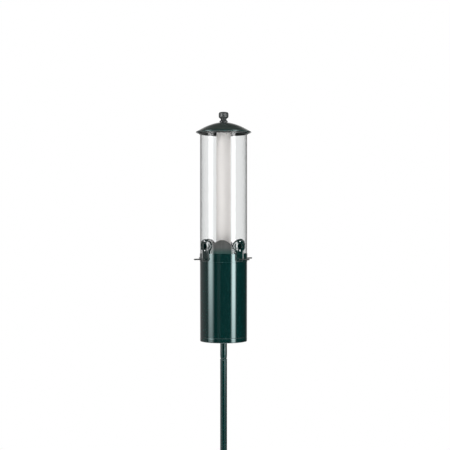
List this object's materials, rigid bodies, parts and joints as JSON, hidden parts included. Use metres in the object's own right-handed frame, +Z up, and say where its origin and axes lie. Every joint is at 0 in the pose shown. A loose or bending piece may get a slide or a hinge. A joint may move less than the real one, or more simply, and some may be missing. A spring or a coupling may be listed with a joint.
{
  "type": "pole-mounted tube bird feeder",
  "caption": "Tall clear seed tube with feeding ports and perches over a stovepipe squirrel baffle, turning on a plug-together pole with a ground spike.",
  "frame": {"origin": "on the pole axis at the ground line, level with the underside of the step plate", "axes": "+Z up along the pole; -Y is the front, between two feeding ports; +X to the right seen from the front"},
  "size_m": [0.18, 0.18, 1.9728],
  "materials": {
    "green_enamel": "gloss dark green enamel",
    "green_hammered_casting": "hammered grey-green coating",
    "green_gloss_moulding": "gloss moulded",
    "clear_acrylic": "clear polished",
    "grey_pipe": "satin extruded",
    "black_rod": "black coated",
    "black_moulding": "satin moulded",
    "zinc_steel": "zinc plated",
    "bright_steel": "bright plated"
  },
  "bodies": {
    "pole": {"ground_spike": "zinc_steel", "step_plate": "green_enamel", "pole_lower": "green_enamel", "pole_upper": "green_enamel"},
    "feeder": {"mounting_tube": "green_enamel", "mounting_flange": "zinc_steel", "clamp_bolt": "zinc_steel", "clamp_nut": "zinc_steel", "flange_screw_1": "zinc_steel", "flange_screw_2": "zinc_steel", "flange_screw_3": "zinc_steel", "flange_screw_4": "zinc_steel", "baffle": "green_enamel", "collar": "green_enamel", "base_casting": "green_hammered_casting", "seed_cone": "green_gloss_moulding", "seed_tube": "clear_acrylic", "core_tube": "grey_pipe", "core_cap": "grey_pipe", "tie_rod": "zinc_steel", "tie_nut_upper": "zinc_steel", "tie_nut_lower": "zinc_steel", "port_1": "green_gloss_moulding", "port_hood_1": "green_gloss_moulding", "perch_1": "black_rod", "port_screw_upper_1": "bright_steel", "port_screw_lower_1": "bright_steel", "port_2": "green_gloss_moulding", "port_hood_2": "green_gloss_moulding", "perch_2": "black_rod", "port_screw_upper_2": "bright_steel", "port_screw_lower_2": "bright_steel", "port_3": "green_gloss_moulding", "port_hood_3": "green_gloss_moulding", "perch_3": "black_rod", "port_screw_upper_3": "bright_steel", "port_screw_lower_3": "bright_steel", "port_4": "green_gloss_moulding", "port_hood_4": "green_gloss_moulding", "perch_4": "black_rod", "port_screw_upper_4": "bright_steel", "port_screw_lower_4": "bright_steel"},
    "lid": {"lid": "green_enamel", "lid_ring": "black_moulding"},
    "lid_knob": {"lid_knob": "black_moulding", "knob_clip": "bright_steel"}
  },
  "joints": [
    {"name": "feeder_turn", "type": "hinge", "parent": "pole", "child": "feeder", "pos_m": [0, 0, 0.912], "axis": [0, 0, 1], "continuous": true},
    {"name": "lid_lift", "type": "slide", "parent": "feeder", "child": "lid", "axis": [0, 0, 1], "range_m": [0, 0.15]},
    {"name": "knob_turn", "type": "hinge", "parent": "lid", "child": "lid_knob", "pos_m": [0, 0, 1.69], "axis": [0, 0, 1], "continuous": true}
  ]
}
